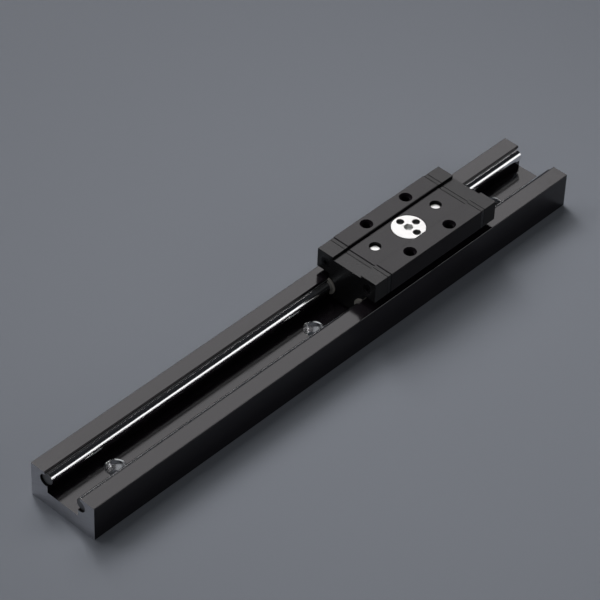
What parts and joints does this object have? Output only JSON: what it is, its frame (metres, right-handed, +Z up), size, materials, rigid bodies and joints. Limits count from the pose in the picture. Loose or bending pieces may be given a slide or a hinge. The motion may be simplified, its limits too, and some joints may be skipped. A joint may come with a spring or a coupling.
{
  "type": "roller linear guide rail",
  "caption": "Channel rail with two round guide shafts inside its walls and a low carriage that rolls along them on grooved ball-bearing rollers, one of them on an eccentric axle.",
  "frame": {"origin": "middle of the rail's underside", "axes": "+X along the rail towards the end that the carriage stands nearer to, +Y to the shaft that carries two rollers, +Z up"},
  "size_m": [0.3, 0.0376, 0.0315],
  "materials": {
    "black_anodised": "glossy black anodised",
    "ground_shaft": "ground and hard chromed",
    "black_plastic": "black moulded, satin",
    "wiper_rubber": "black, smooth",
    "grey_felt": "pressed wool felt",
    "black_screw": "black oxide",
    "bright_zinc": "bright zinc, turned",
    "bearing_steel": "ground and polished",
    "sheet_steel": "pressed sheet"
  },
  "bodies": {
    "rail": {"rail_extrusion": "black_anodised", "guide_shaft_left": "ground_shaft", "guide_shaft_right": "ground_shaft"},
    "carriage": {"carriage_block": "black_anodised", "wiper_plate_front": "wiper_rubber", "end_cap_front": "black_plastic", "oil_felts_front": "grey_felt", "cap_screws_front": "black_screw", "fixed_axle_front": "bright_zinc", "roller_screw_front": "bright_zinc", "inner_ring_front": "bearing_steel", "wiper_plate_rear": "wiper_rubber", "end_cap_rear": "black_plastic", "oil_felts_rear": "grey_felt", "cap_screws_rear": "black_screw", "fixed_axle_rear": "bright_zinc", "roller_screw_rear": "bright_zinc", "inner_ring_rear": "bearing_steel"},
    "eccentric": {"eccentric_axle": "bright_zinc", "roller_screw_middle": "bright_zinc", "inner_ring_middle": "bearing_steel"},
    "wheel_front": {"roller_front": "bearing_steel", "bearing_shields_front": "sheet_steel"},
    "ball_set_front": {"ball_cage_front": "sheet_steel", "bearing_balls_front": "bearing_steel"},
    "wheel_middle": {"roller_middle": "bearing_steel", "bearing_shields_middle": "sheet_steel"},
    "ball_set_middle": {"ball_cage_middle": "sheet_steel", "bearing_balls_middle": "bearing_steel"},
    "wheel_rear": {"roller_rear": "bearing_steel", "bearing_shields_rear": "sheet_steel"},
    "ball_set_rear": {"ball_cage_rear": "sheet_steel", "bearing_balls_rear": "bearing_steel"}
  },
  "joints": [
    {"name": "carriage_slide", "type": "slide", "parent": "rail", "child": "carriage", "axis": [1, 0, 0], "range_m": [-0.17, 0.05]},
    {"name": "eccentric_turn", "type": "hinge", "parent": "carriage", "child": "eccentric", "pos_m": [0.06, -0.0005, 0.0301], "axis": [0, 0, 1], "range_deg": [-90, 90]},
    {"name": "wheel_spin_front", "type": "hinge", "parent": "carriage", "child": "wheel_front", "pos_m": [0.0399, 0.0012, 0.0139], "axis": [0, 0, 1], "continuous": true},
    {"name": "ball_set_spin_front", "type": "hinge", "parent": "carriage", "child": "ball_set_front", "pos_m": [0.0399, 0.0012, 0.0139], "axis": [0, 0, 1], "continuous": true},
    {"name": "wheel_spin_middle", "type": "hinge", "parent": "eccentric", "child": "wheel_middle", "pos_m": [0.06, -0.0012, 0.0139], "axis": [0, 0, 1], "continuous": true},
    {"name": "ball_set_spin_middle", "type": "hinge", "parent": "eccentric", "child": "ball_set_middle", "pos_m": [0.06, -0.0012, 0.0139], "axis": [0, 0, 1], "continuous": true},
    {"name": "wheel_spin_rear", "type": "hinge", "parent": "carriage", "child": "wheel_rear", "pos_m": [0.0801, 0.0012, 0.0139], "axis": [0, 0, 1], "continuous": true},
    {"name": "ball_set_spin_rear", "type": "hinge", "parent": "carriage", "child": "ball_set_rear", "pos_m": [0.0801, 0.0012, 0.0139], "axis": [0, 0, 1], "continuous": true}
  ],
  "couplings": [
    {"joint": "wheel_spin_front", "follows": "carriage_slide", "rad_per_m": 163.93},
    {"joint": "ball_set_spin_front", "follows": "carriage_slide", "rad_per_m": 101.48},
    {"joint": "wheel_spin_middle", "follows": "carriage_slide", "rad_per_m": -163.93},
    {"joint": "ball_set_spin_middle", "follows": "carriage_slide", "rad_per_m": -101.48},
    {"joint": "wheel_spin_rear", "follows": "carriage_slide", "rad_per_m": 163.93},
    {"joint": "ball_set_spin_rear", "follows": "carriage_slide", "rad_per_m": 101.48}
  ]
}
